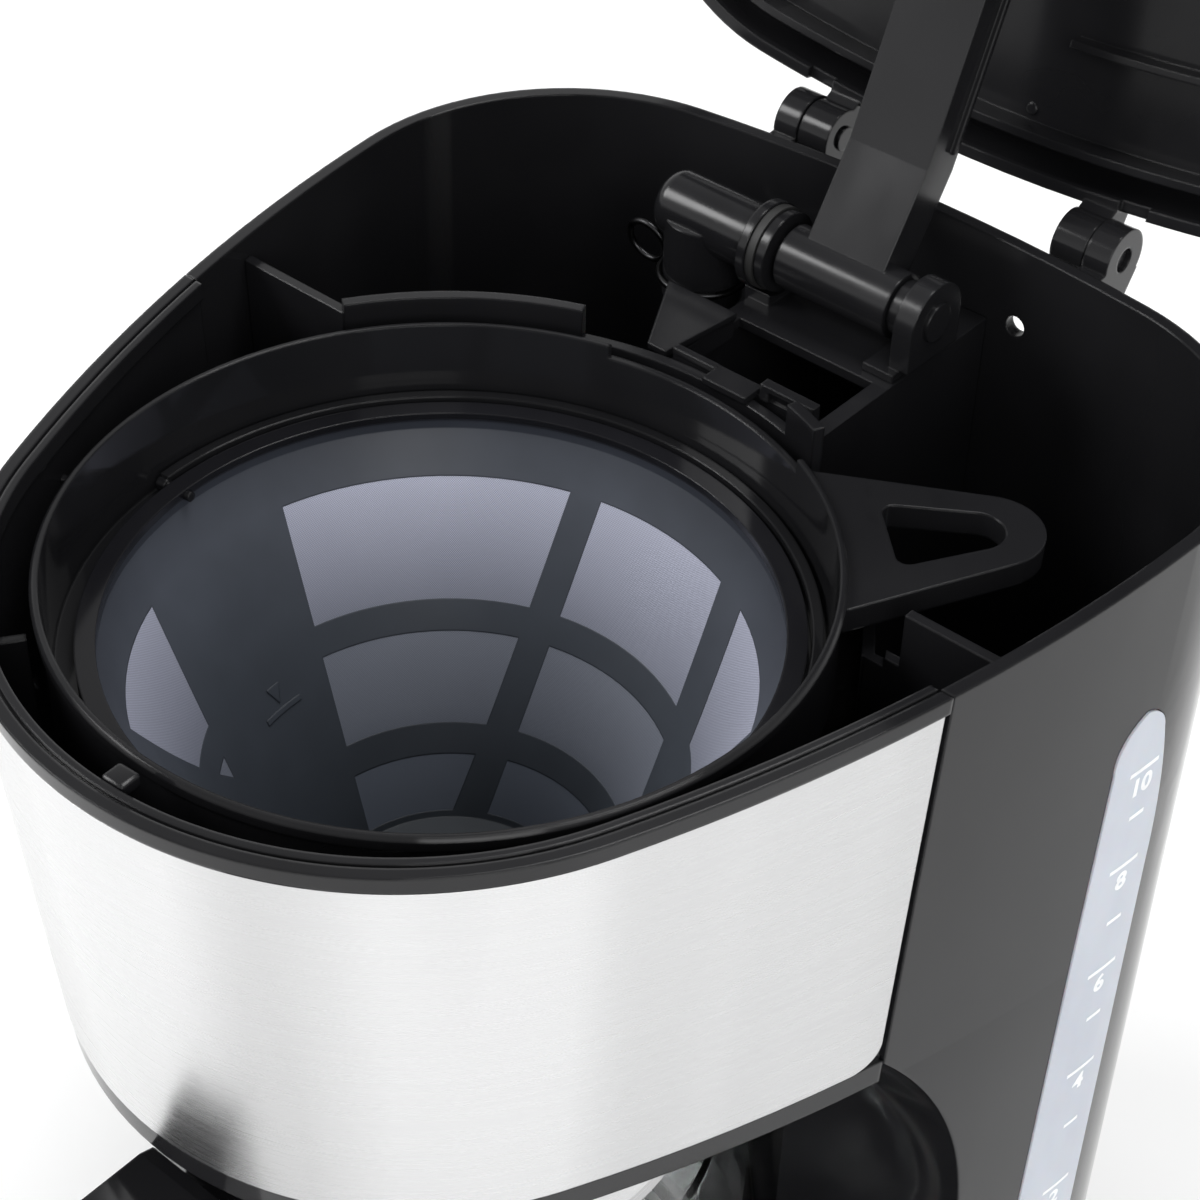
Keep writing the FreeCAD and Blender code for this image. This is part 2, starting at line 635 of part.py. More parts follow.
def arm_side(grow):
    """Side outline of the lowered arm: a short rising stretch, then level over the basket."""
    rise = ARM_LOW * math.sin(math.radians(ARM_BEND))
    bend_y = ARM_Y - ARM_LOW * math.cos(math.radians(ARM_BEND))
    mid = ARM_Z + rise
    h = ARM_T / 2 + grow
    return [(ARM_Y, ARM_Z - h), (bend_y, mid - h), (ARM_TIP_Y - grow, mid - h),
            (ARM_TIP_Y - grow, mid + h - 2), (ARM_TIP_Y + 2 - grow, mid + h),
            (bend_y, mid + h), (ARM_Y, ARM_Z + h)]


def raised(shape):
    """Swings a piece drawn on the lowered arm up to where it rests with the lid open."""
    shape.rotate(V(0, ARM_Y, ARM_Z), V(1, 0, 0), -ARM_SWING)
    return shape


def arm_split():
    """Block above the parting line of the arm's two halves."""
    mid = ARM_Z + ARM_LOW * math.sin(math.radians(ARM_BEND)) + 1.4
    return box(-40, 40, -60, ARM_Y - ARM_LOW - 3, mid, mid + 30)


def spout_arm():
    w = ARM_HALF_W
    body = yz_prism(arm_side(0), -w, w)
    hollow = yz_prism(arm_side(-1.7), -w + 1.7, w - 1.7)
    barrel = xcyl(6.6, -12.9, 13.1, ARM_Y, ARM_Z)
    nozzle = zcyl(12.0, ARM_Z - 2.5, ARM_Z + 5)
    head = zcyl(13.5, ARM_Z - 0.5, ARM_Z + 6)
    body = fuse(body, barrel, nozzle, head)
    body = body.cut(hollow).cut(zcyl(10.0, ARM_Z - 1.0, ARM_Z + 12))
    body = body.cut(arm_split())
    for i in range(8):
        p = polar(6.5, 45 * i, 0)
        body = body.cut(zcyl(1.2, ARM_Z - 5, ARM_Z + 2, p.x, p.y))
    body = body.cut(zcyl(1.6, ARM_Z - 5, ARM_Z + 2))
    body = body.cut(xcyl(4.0 + RUNNING, -14, 0, ARM_Y, ARM_Z))
    body = body.cut(xcyl(4.0 + RUNNING, 3.9, 14, ARM_Y, ARM_Z))
    return raised(body)


def spout_cover():
    w = ARM_HALF_W
    body = yz_prism(arm_side(0), -w, w)
    flange = fuse(box(-w - 1.1, w + 1.1, ARM_TIP_Y + 6, ARM_Y - ARM_LOW - 3, ARM_Z + 5.9, ARM_Z + 7.0),
                  zcyl(13.5, ARM_Z + 5.9, ARM_Z + 9))
    hollow = yz_prism(arm_side(-1.7), -w + 1.7, w - 1.7)
    body = fuse(body, flange).cut(hollow).common(arm_split())
    return raised(body)


# ---------------------------------------------------------------- lid
def lid_form(inset, z0, z1, fillet):
    """Lid-shaped block in the lid's own level frame, its upper edge rounded."""
    block = Part.makeLoft([outline(z, inset, 0.0, LID_REACH) for z in (z0, z1)], True, True)
    if fillet:
        top = [e for e in block.Edges if min(v.Point.z for v in e.Vertexes) > z1 - 0.01]
        block = block.makeFillet(fillet, top)
    return block


def lid_placed(shape):
    """From the lid's level frame to the closed lid on the sloping rim, then opened."""
    shape.rotate(V(0, RIM_FRONT_Y, 0), V(1, 0, 0), RIM_SLOPE)
    shape.translate(V(0, 0, RIM_FRONT_Z + 0.9))
    shape.rotate(V(0, HINGE_Y, HINGE_Z), V(1, 0, 0), -LID_OPEN)
    return shape


def opened(shape):
    shape.rotate(V(0, HINGE_Y, HINGE_Z), V(1, 0, 0), -LID_OPEN)
    return shape


LID_SCREWS = [(-46, 104), (46, 104), (-48, -14), (48, -14)]
LINER_Z = 7.4


def lid_cover():
    shell = lid_form(0.2, 0.0, LID_H, 10.0).cut(lid_form(2.6, -1.0, LID_H - 2.4, 8.0))
    for x, y in LID_SCREWS:
        shell = fuse(shell, zring(1.4, 3.6, LINER_Z + 1.9, LID_H - 1.5, x, y))
    shell = lid_placed(shell)
    knuckles = []
    for side in (-1, 1):
        x0 = min(side * 27.0, side * 34.2)
        x1 = max(side * 27.0, side * 34.2)
        arm = yz_prism([(139.5, 270.5), (HINGE_Y, HINGE_Z - 5), (HINGE_Y + 5, HINGE_Z),
                        (HINGE_Y + 3, HINGE_Z + 6), (139.5, 276)], x0, x1)
        knuckles.append(opened(fuse(arm, xcyl(HINGE_R, x0, x1, HINGE_Y, HINGE_Z))))
    shell = fuse(shell, *knuckles)
    for x in (-40.5, 34.25):
        shell = shell.cut(opened(box(x, x + 6.25, 134, 150, 250, 271.6)))
    return shell.cut(xcyl(PIN_R + RUNNING, -45, 45, HINGE_Y, HINGE_Z))


def lid_liner():
    """Inner panel of the lid: a recessed plate, a skirt round it and stiffening ribs."""
    plate = lid_form(7.6, LINER_Z, LINER_Z + 1.8, 0)
    skirt = lid_form(7.6, 1.2, LINER_Z + 1, 0).cut(lid_form(9.4, 0, LINER_Z, 0))
    inner_rib = lid_form(27.0, 3.4, LINER_Z + 1, 0).cut(lid_form(28.6, 0, LINER_Z, 0))
    inner_rib = inner_rib.cut(box(-14, 14, -100, 150, -10, 20))
    body = fuse(plate, skirt, inner_rib)
    for x, y in LID_SCREWS:
        body = body.cut(zcyl(4.0, 0, LINER_Z - 1, x, y))
        body = fuse(body, zring(1.8, 5.4, LINER_Z - 2.2, LINER_Z + 1, x, y)).cut(zcyl(1.8, 0, 12, x, y))
    for side in (-1, 1):
        for i in range(3):
            slot = box(side * 24 - 9, side * 24 + 9, 34 + 9 * i, 37 + 9 * i, 0, 12)
            body = body.cut(slot)
    return lid_placed(body)


def lid_pins():
    return Part.makeCompound([xcyl(PIN_R, -39.0, -26.4, HINGE_Y, HINGE_Z),
                              xcyl(PIN_R, 26.4, 39.0, HINGE_Y, HINGE_Z)])


def lid_screws():
    screws = []
    for x, y in LID_SCREWS:
        z = LINER_Z - 2.2
        profile = [(0, z - 2.0), (2.4, z - 1.6), (3.2, z), (1.35, z), (1.35, 13.5), (0, 13.5)]
        screws.append(turned(profile, x, y))
    return lid_placed(Part.makeCompound(screws))


# ---------------------------------------------------------------- filter basket
def basket_handle():
    """Flat loop standing out of the basket's rim, drawn along X and turned to its azimuth."""
    tip_u, tip_r, root_u, root_w = 93.5, 9.7, 64.0, 19.4
    z0, z1 = 255.6, 260.4

    def teardrop(u_tip, r_tip, u_root, w_root):
        far = math.hypot(u_tip - u_root, w_root)
        lean = math.atan2(w_root, u_tip - u_root) + math.acos(r_tip / far)
        touch = V(u_tip - r_tip * math.cos(lean), r_tip * math.sin(lean), z0)
        other = V(touch.x, -touch.y, z0)
        root_a, root_b = V(u_root, w_root, z0), V(u_root, -w_root, z0)
        wire = Part.Wire([
            Part.LineSegment(root_b, root_a).toShape(),
            Part.LineSegment(root_a, touch).toShape(),
            Part.Arc(touch, V(u_tip + r_tip, 0, z0), other).toShape(),
            Part.LineSegment(other, root_b).toShape(),
        ])
        return Part.Face(wire).extrude(V(0, 0, z1 - z0))

    plate = teardrop(tip_u, tip_r, root_u, root_w)
    hole = teardrop(91.2, 5.0, 76.0, 8.6)
    upright = [e for e in hole.Edges if along_axis(e, V(0, 0, 1)) and e.CenterOfMass.x < 80]
    loop = plate.cut(hole.makeFillet(2.2, upright))
    loop.rotate(V(0, 0, 0), V(0, 0, 1), HANDLE_AZ)
    return loop


def filter_basket():
    r = BASKET_R
    f = BASKET_FLOOR
    seat = HEAD_BOTTOM + 2.6
    outer = [(36.4, f - 1.0), (38.2, f - 0.2), (39.8, seat), (42.8, seat), (43.4, seat + 2.4), (59.2, 213),
             (63.0, 241.0),
             (r - 0.5, 243.0), (r - 0.5, RIM_Z - 3), (r, RIM_Z - 2.4), (r, RIM_Z - 0.6), (r - 0.6, RIM_Z)]
    inner = [(r - BASKET_WALL + 0.3, RIM_Z), (r - BASKET_WALL - 0.4, LEDGE_Z), (61.0, LEDGE_Z),
             (57.4, 214), (36.6, f + 1.4), (35.6, f + 1.0), (11.0, f + 1.0), (10.0, SUMP_Z), (4.2, SUMP_Z), (4.2, SUMP_Z - 1.6),
             (5.4, SUMP_Z - 1.6), (5.4, SUMP_Z - 6.8), (7.2, SUMP_Z - 6.8), (7.2, SUMP_Z - 2.8), (12.2, SUMP_Z - 1.6),
             (12.6, f - 1.0)]
    body = turned(outer + inner)
    handle = basket_handle().cut(zcyl(r - 1.0, 200, 300))
    body = fuse(body, handle)
    notch = sector(r - 3.5, r + 2, RIM_Z - 2.6, RIM_Z + 5, 64.5, 106)
    return body.cut(notch)


def valve_plunger():
    disc = SUMP_Z + 1.0
    z = BUTTON_Z
    return turned([(0, z), (6.6, z), (7.0, z + 0.5), (7.0, z + 2.2), (1.8, z + 2.2), (1.8, disc),
                   (6.0, disc), (6.0, disc + 1.0), (4.0, disc + 1.8), (0, disc + 1.8)])


def valve_seal():
    return zring(1.8, 6.8, SUMP_Z + 0.05, SUMP_Z + 1.0)


def valve_spring():
    pitch, height, radius, wire = 1.75, 7.0, 3.6, 0.45
    bottom = BUTTON_Z + 2.7
    helix = Part.makeHelix(pitch, height, radius)
    helix.translate(V(0, 0, bottom))
    ring = Part.Wire(Part.makeCircle(wire, V(radius, 0, bottom), V(0, 1, 0)))
    return Part.Wire(helix).makePipeShell([ring], True, True)


# ---------------------------------------------------------------- permanent filter
def cone_r(z):
    return FILTER_R - FILTER_CONE * (FILTER_RIM_Z - 1.5 - z)


# windows of the filter in plan, each bounded by straight pillars; the other half is the same turned by 180
WINDOW_A = [(-70.0, 17.9), (-16.0, 0.4), (-16.0, 8.0), (-17.0, 70.0), (-70.0, 70.0)]
WINDOW_B = [(-10.5, 8.0), (24.8, 8.0), (19.0, 70.0), (-10.5, 70.0)]
WINDOW_C = [(31.4, 23.0), (70.0, 23.0), (70.0, 70.0), (25.4, 70.0)]
BANDS = [(214.6, 235.7), (192.9, 209.0), (177.2, 187.3)]


def window_blocks():
    blocks = []
    for plan in (WINDOW_A, WINDOW_B, WINDOW_C):
        for turn in (0, 180):
            for z0, z1 in BANDS:
                points = [V(x, y, z0) for x, y in plan]
                block = Part.Face(Part.makePolygon(points + points[:1])).extrude(V(0, 0, z1 - z0))
                block.rotate(V(0, 0, 0), V(0, 0, 1), turn)
                blocks.append(block)
    return blocks


def filter_frame():
    """Conical bowl with three windows a side in three bands and wide solid panels between."""
    f = FILTER_FLOOR
    w = FILTER_WALL
    z_rim = FILTER_RIM_Z
    under = z_rim - FILTER_RIM_T
    body = turned([(0, f), (cone_r(f) + w, f), (cone_r(under) + w, under), (62.2, under),
                   (62.2, z_rim), (58.6, z_rim), (58.6, z_rim - 1.6), (cone_r(z_rim - 3.6), z_rim - 3.6),
                   (cone_r(f + w), f + w), (0, f + w)])
    for block in window_blocks():
        body = body.cut(block)
    for turn in (0, 180):
        body = body.cut(xcyl_turned(BAIL_PIN_R + RUNNING, 55, 66, BAIL_AZ + turn, BAIL_PIN_Z))
    return body


def xcyl_turned(r, x0, x1, az, z):
    pin = xcyl(r, x0, x1, 0, z)
    pin.rotate(V(0, 0, 0), V(0, 0, 1), az)
    return pin


def filter_mesh():
    """Panels of fine mesh moulded into the windows, level with the frame's inner face."""
    low, high = BANDS[-1][0] - 1, BANDS[0][1] + 1
    t = MESH_T
    skin = turned([(cone_r(low) + 0.08, low), (cone_r(low) + t, low), (cone_r(high) + t, high),
                   (cone_r(high) + 0.08, high)])
    panels = []
    for block in window_blocks():
        panels += block.common(skin).Solids
    return Part.makeCompound(panels)


def filter_bail():
    """Folding carrying handle lying round the back of the filter's rim."""
    strap = sector(62.9, 64.9, BAIL_Z - 3.4, BAIL_Z, BAIL_AZ, BAIL_AZ + 180)
    pins = []
    for az in (BAIL_AZ, BAIL_AZ + 180):
        pins.append(xcyl_turned(BAIL_PIN_R, 57.5, 64.5, az, BAIL_PIN_Z))
        pins.append(xcyl_turned(1.5, 62.9, 64.9, az, BAIL_PIN_Z))
    return fuse(strap, *pins)


# ---------------------------------------------------------------- jug
def jug_glass():
    b = JUG_BOTTOM
    r = JUG_R
    outer = [(0, b), (48.0, b), (55.0, b + 3.0), (59.0, b + 10.0), (r, b + 32.0), (r, b + 44.0),
             (60.5, b + 64.0), (54.0, b + 84.0), (48.0, b + 94.5), (NECK_R, NECK_Z), (48.4, NECK_Z + 4)]
    g = GLASS
    inner = [(46.2, NECK_Z + 4), (NECK_R - g, NECK_Z), (48.0 - g, b + 95.0), (54.0 - g, b + 84.0),
             (60.5 - g, b + 64.0), (r - g, b + 44.0), (r - g, b + 32.5), (59.0 - g, b + 11.0),
             (54.0 - g, b + 5.0), (47.0, b + g), (0, b + g)]
    return turned(outer + inner)


BAND_LOW = 131.7
BAND_TAB_T = 1.2


def jug_band():
    """Steel band round the neck with a tab under the handle."""
    z = BAND_LOW
    ring = turned([(49.05, z), (50.1, z), (49.1, z + 1.6), (47.3, z + 6.3), (46.3, z + 6.3), (48.1, z + 1.6)])
    tab = box(-6, 6, -62, -49.6, z, z + BAND_TAB_T)
    return fuse(ring, tab).cut(zcyl(1.5, z - 1, z + 4, 0, -57))


def jug_handle():
    """Grip hanging from the neck on the front of the jug, open at its lower end."""
    top, under = NECK_Z + 8.5, BAND_LOW + BAND_TAB_T + 0.1
    outer = [(-44, under), (-44, top - 6), (-50, top), (-60, top + 2), (-67, GRIP_TOP - 1), (-70, GRIP_TOP),
             (-90, GRIP_TOP), (-99, GRIP_TOP - 6), (-103, GRIP_TOP - 20), (-99, 82), (-91, 60), (-83, 56),
             (-79, 63), (-86, 85), (-90, under - 9), (-85, under - 1), (-80, under)]
    grip = yz_prism(outer, -10, 10)
    long_edges = [e for e in grip.Edges if along_axis(e, V(1, 0, 0)) and e.CenterOfMass.y < -75]
    grip = grip.makeFillet(2.6, long_edges)
    for x in (-9.8, 5.4):
        ear = fuse(box(x, x + 4.4, -56, JUG_PIN_Y, top - 2, JUG_PIN_Z),
                   xcyl(3.2, x, x + 4.4, JUG_PIN_Y, JUG_PIN_Z))
        grip = fuse(grip, ear)
    grip = grip.cut(zcyl(50.2, 100, 200)).cut(zcyl(1.25, 100, under + 9, 0, -57))
    return grip.cut(xcyl(1.4, -12, 12, JUG_PIN_Y, JUG_PIN_Z))


JUG_PIN_Y = -54.0
JUG_PIN_Z = 150.5


def jug_lid():
    """Lid with a central pad that lifts the drip valve and four drip holes round the pad."""
    z = NECK_Z + 4.2
    pad = z + 13.4
    body = turned([(0, pad), (8.5, pad), (10, pad - 2.4), (16, pad - 2.6), (22, pad - 1.2), (38, pad - 1.4),
                   (46, pad - 4), (49, z + 5.0), (49, z), (43.4, z), (43.4, z - 5), (41.4, z - 5),
                   (41.4, z + 3.6), (36, pad - 3.6), (22, pad - 3.4), (16, pad - 4.8), (0, pad - 4.8)])
    lug = fuse(box(-5.2, 5.2, JUG_PIN_Y, -44, JUG_PIN_Z - 2.4, JUG_PIN_Z + 2.4),
               xcyl(2.4, -5.2, 5.2, JUG_PIN_Y, JUG_PIN_Z)).cut(zcyl(47.0, 100, 200))
    body = fuse(body, lug).cut(xcyl(1.4, -12, 12, JUG_PIN_Y, JUG_PIN_Z))
    for i in range(4):
        p = polar(13.0, 45 + 90 * i, 0)
        body = body.cut(zcyl(1.6, z, z + 20, p.x, p.y))
    return body


def jug_lid_pin():
    return xcyl(1.4, -10, 10, JUG_PIN_Y, JUG_PIN_Z)


def band_screw():
    z = BAND_LOW
    return turned([(0, z - 1.8), (2.0, z - 1.5), (2.8, z), (1.25, z), (1.25, z + 8), (0, z + 8)], 0, -57)


# ---------------------------------------------------------------- writing
PARTS = {
    "base_shell": base_shell,
    "base_plate": base_plate,
    "rubber_feet": rubber_feet,
    "base_screws": base_screws,
    "hot_plate": hot_plate,
    "plate_seal": plate_seal,
    "heater_element": heater_element,
    "heater_water_tube": heater_water_tube,
    "heater_clamp": heater_clamp,
    "thermostat": thermostat,
    "thermal_fuse": thermal_fuse,
    "check_valve": check_valve,
    "cold_hose": cold_hose,
    "hot_hose": hot_hose,
    "cord_bush": cord_bush,
    "terminal_block": terminal_block,
    "wiring": wiring,
    "switch_bezel": switch_bezel,
    "switch_rocker": switch_rocker,
    "rear_housing": rear_housing,
    "level_window": level_window,
    "centre_column": centre_column,
    "front_shell": front_shell,
    "steel_panel": steel_panel,
    "top_trim": top_trim,
    "well_deck": well_deck,
    "latch_clip": latch_clip,
    "riser_tube": riser_tube,
    "tank_grommets": tank_grommets,
    "water_elbow": water_elbow,
    "elbow_seal": elbow_seal,
    "hose_clip": hose_clip,
    "pivot_bracket": pivot_bracket,
    "arm_pin": arm_pin,
    "spout_arm": spout_arm,
    "spout_cover": spout_cover,
    "lid_cover": lid_cover,
    "lid_liner": lid_liner,
    "lid_pins": lid_pins,
    "lid_screws": lid_screws,
    "filter_basket": filter_basket,
    "valve_plunger": valve_plunger,
    "valve_seal": valve_seal,
    "valve_spring": valve_spring,
    "filter_frame": filter_frame,
    "filter_mesh": filter_mesh,
    "filter_bail": filter_bail,
    "jug_glass": jug_glass,
    "jug_band": jug_band,
    "jug_handle": jug_handle,
    "jug_lid": jug_lid,
    "jug_lid_pin": jug_lid_pin,
    "band_screw": band_screw,
}


def write_parts():
    os.makedirs("parts", exist_ok=True)
    whole = FreeCAD.BoundBox()
    for name, make in PARTS.items():
        shape = make()
        shape.translate(V(0, CENTRE_SHIFT_Y, 0))
        if not shape.isValid() or shape.Volume <= 0:
            print("BAD SHAPE", name, shape.isValid(), shape.Volume)
        whole.add(shape.BoundBox)
        shape.exportStep("parts/" + name + ".step")
        print(name, "solids", len(shape.Solids), "volume", round(shape.Volume / 1000, 2), "cm3")
    print("box", whole)


write_parts()
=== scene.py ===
import json
import math

import bmesh
import bpy
from mathutils import Matrix, Vector
from mathutils.bvhtree import BVHTree


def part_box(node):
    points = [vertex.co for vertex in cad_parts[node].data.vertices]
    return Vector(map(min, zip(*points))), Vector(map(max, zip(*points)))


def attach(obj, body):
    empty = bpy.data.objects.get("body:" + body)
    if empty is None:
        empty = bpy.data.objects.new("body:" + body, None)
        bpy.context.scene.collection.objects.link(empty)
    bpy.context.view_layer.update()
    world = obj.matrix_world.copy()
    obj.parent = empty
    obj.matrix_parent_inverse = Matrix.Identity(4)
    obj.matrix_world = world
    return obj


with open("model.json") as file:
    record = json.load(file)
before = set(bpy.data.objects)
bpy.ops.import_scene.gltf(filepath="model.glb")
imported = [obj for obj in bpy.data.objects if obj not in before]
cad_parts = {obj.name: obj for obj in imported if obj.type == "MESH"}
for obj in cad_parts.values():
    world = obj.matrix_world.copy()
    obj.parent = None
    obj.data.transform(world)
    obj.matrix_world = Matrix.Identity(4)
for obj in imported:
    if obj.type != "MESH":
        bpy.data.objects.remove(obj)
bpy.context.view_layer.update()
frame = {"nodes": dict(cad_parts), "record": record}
NODES = frame["nodes"]

# ------------------------------------------------------------------ places in the frame
plate_low, plate_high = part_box("hot_plate")
AXIS = (plate_low + plate_high) / 2
SHIFT = AXIS.y * 1000
RIM_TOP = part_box("filter_basket")[1].z * 1000


def at(x, y, z):
    """Millimetres about the basket's axis, to the row frame in metres."""
    return Vector((x, y + SHIFT, z)) / 1000


def outward(az):
    """Level direction away from the basket's axis, at an azimuth in degrees from +X."""
    a = math.radians(az)
    return Vector((math.cos(a), math.sin(a), 0))


# ------------------------------------------------------------------ camera and light
CAMERA_PLACE = (239.6, -245.6, RIM_TOP + 278.2)
CAMERA_AZIMUTH, CAMERA_ELEVATION, CAMERA_ROLL = 39.84, 40.11, 1.63


def aim(azimuth, elevation, roll):
    """Orientation of a camera that looks at the front from azimuth 0, down by the elevation."""
    a, e, r = math.radians(azimuth), math.radians(elevation), math.radians(roll)
    right = Vector((math.cos(a), math.sin(a), 0))
    up = Vector((-math.sin(a) * math.sin(e), math.cos(a) * math.sin(e), math.cos(e)))
    back = Vector((math.sin(a) * math.cos(e), -math.cos(a) * math.cos(e), math.sin(e)))
    side = right * math.cos(r) + up * math.sin(r)
    top = -right * math.sin(r) + up * math.cos(r)
    return Matrix((side, top, back)).transposed().to_4x4()


camera = bpy.data.objects.new("camera", bpy.data.cameras.new("camera"))
bpy.context.scene.collection.objects.link(camera)
camera.data.sensor_width = 36.0
camera.data.lens = 79.22
camera.data.clip_start, camera.data.clip_end = 0.01, 50.0
pointing = aim(CAMERA_AZIMUTH, CAMERA_ELEVATION, CAMERA_ROLL)
camera.matrix_world = Matrix.Translation(at(*CAMERA_PLACE)) @ pointing
bpy.context.scene.camera = camera

scene = bpy.context.scene
scene.view_settings.view_transform = "Standard"
scene.view_settings.look = "None"
scene.view_settings.exposure = 0.0

world = bpy.data.worlds.new("studio")
scene.world = world
world.use_nodes = True
# a white room, brightest at the horizon and dimmer overhead
HORIZON, ZENITH = 1.0, 0.34
sky = world.node_tree
back_node = sky.nodes["Background"]
back_node.inputs["Color"].default_value = (1.0, 1.0, 1.0, 1.0)
direction = sky.nodes.new("ShaderNodeTexCoord").outputs["Generated"]
height = sky.nodes.new("ShaderNodeSeparateXYZ")
sky.links.new(direction, height.inputs[0])
fall = sky.nodes.new("ShaderNodeMapRange")
fall.inputs["From Min"].default_value = 0.15
fall.inputs["From Max"].default_value = 0.85
fall.inputs["To Min"].default_value = HORIZON
fall.inputs["To Max"].default_value = ZENITH
sky.links.new(height.outputs["Z"], fall.inputs["Value"])
sky.links.new(fall.outputs["Result"], back_node.inputs["Strength"])


def softbox(name, place, size_x, size_y, power):
    """Soft rectangular lamp that points at the middle of the machine."""
    light = bpy.data.lights.new(name, "AREA")
    light.shape = "RECTANGLE"
    light.size, light.size_y = size_x, size_y
    light.energy = power
    lamp = bpy.data.objects.new(name, light)
    scene.collection.objects.link(lamp)
    lamp.location = place
    lamp.rotation_mode = "QUATERNION"
    lamp.rotation_quaternion = (Vector(place) - MIDDLE).to_track_quat("Z", "Y")


MIDDLE = Vector((0.0, -0.03, 0.22))
softbox("key_left", (-1.3, -1.0, 1.5), 0.8, 0.8, 22)
softbox("fill_right", (1.4, -1.1, 1.2), 0.9, 1.2, 12)
softbox("top", (0.1, 0.5, 1.9), 1.2, 0.6, 18)

FLOOR = 30.0
floor_mesh = bpy.data.meshes.new("floor")
corners = [(-FLOOR, -FLOOR, 0), (FLOOR, -FLOOR, 0), (FLOOR, FLOOR, 0), (-FLOOR, FLOOR, 0)]
floor_mesh.from_pydata(corners, [], [(0, 1, 2, 3)])
floor = bpy.data.objects.new("floor", floor_mesh)
scene.collection.objects.link(floor)


# ------------------------------------------------------------------ materials
class Shader:
    """A Principled material with a few short calls for the nodes that drive it."""

    def __init__(self, name, colour, roughness, metallic=0.0):
        self.mat = bpy.data.materials.new(name)
        self.mat.use_nodes = True
        self.tree = self.mat.node_tree
        self.bsdf = self.tree.nodes["Principled BSDF"]
        self.bsdf.inputs["Base Color"].default_value = (*colour, 1)
        self.bsdf.inputs["Roughness"].default_value = roughness
        self.bsdf.inputs["Metallic"].default_value = metallic
        self.coords = self.tree.nodes.new("ShaderNodeTexCoord").outputs["Object"]

    def set(self, **values):
        for key, value in values.items():
            self.bsdf.inputs[key.replace("_", " ")].default_value = value

    def feed(self, socket, value):
        """Link another node's output into a socket, or set a plain value or colour on it."""
        if isinstance(value, bpy.types.NodeSocket):
            self.tree.links.new(value, socket)
        elif isinstance(value, tuple) and len(socket.default_value) == 4:
            socket.default_value = (*value, 1)
        else:
            socket.default_value = value

    def node(self, kind, **inputs):
        made = self.tree.nodes.new(kind)
        for key, value in inputs.items():
            self.feed(made.inputs[key], value)
        return made

    def math(self, operation, a, b=0.0):
        made = self.tree.nodes.new("ShaderNodeMath")
        made.operation = operation
        self.feed(made.inputs[0], a)
        self.feed(made.inputs[1], b)
        return made.outputs[0]

    def stretched(self, x, y, z):
        """Object coordinates with their own scale along each axis."""
        mapping = self.node("ShaderNodeMapping", Vector=self.coords, Scale=(x, y, z))
        return mapping.outputs["Vector"]

    def noise(self, scale, detail=3.0, rough=0.5, vector=None):
        vector = vector or self.coords
        made = self.node("ShaderNodeTexNoise", Vector=vector, Scale=scale, Detail=detail, Roughness=rough)
        return made.outputs["Fac"]

    def ramp(self, factor, *stops):
        made = self.node("ShaderNodeValToRGB", Fac=factor)
        band = made.color_ramp
        while len(band.elements) < len(stops):
            band.elements.new(0.5)
        for element, (position, colour) in zip(band.elements, stops):
            element.position = position
            element.color = (*colour, 1)
        return made.outputs["Color"]

    def span(self, factor, low, high, start, end):
        """Carry start..end of the factor over to low..high, clamped."""
        made = self.node("ShaderNodeMapRange", Value=factor)
        made.inputs["From Min"].default_value = start
        made.inputs["From Max"].default_value = end
        made.inputs["To Min"].default_value = low
        made.inputs["To Max"].default_value = high
        return made.outputs["Result"]

    def mix(self, factor, a, b):
        made = self.tree.nodes.new("ShaderNodeMix")
        made.data_type = "RGBA"
        for index, value in ((0, factor), (6, a), (7, b)):
            self.feed(made.inputs[index], value)
        return made.outputs[2]

    def to(self, key, socket):
        self.tree.links.new(socket, self.bsdf.inputs[key])

    def bump(self, height, strength, distance, normal=None):
        made = self.node("ShaderNodeBump", Height=height, Strength=strength, Distance=distance)
        if normal is not None:
            self.tree.links.new(normal, made.inputs["Normal"])
        return made.outputs["Normal"]

    def soft_edges(self, radius):
        """Shading normal that rounds sharp edges to a small radius, so that they catch the light."""
        made = self.tree.nodes.new("ShaderNodeBevel")
        made.samples = 4
        made.inputs["Radius"].default_value = radius
        return made.outputs["Normal"]


def scaled(colour, factor):
    return tuple(min(1.0, c * factor) for c in colour)


def moulded(name, colour, rough_low, rough_high, peel, edge, grain=0.0, shine=0.28):
    """Moulded plastic: slow gloss and tone variation, a faint orange peel and an optional fine grain."""
    s = Shader(name, colour, rough_low)
    s.set(Specular_IOR_Level=shine)
    cloudy = s.noise(18.0, 3.0, 0.55)
    smears = s.noise(70.0, 5.0, 0.6, s.stretched(1.0, 1.0, 0.25))
    s.to("Roughness", s.span(s.math("MULTIPLY", cloudy, smears), rough_low, rough_high, 0.12, 0.42))
    lighter = tuple(c * 1.35 + 0.002 for c in colour)
    s.to("Base Color", s.mix(s.span(cloudy, 0.0, 1.0, 0.35, 0.7), colour, lighter))
    normal = s.bump(s.noise(420.0, 2.0, 0.5), peel, 0.00008, s.soft_edges(edge))
    if grain:
        normal = s.bump(s.noise(3200.0, 2.0, 0.6), grain, 0.00005, normal)
    s.to("Normal", normal)
    return s.mat


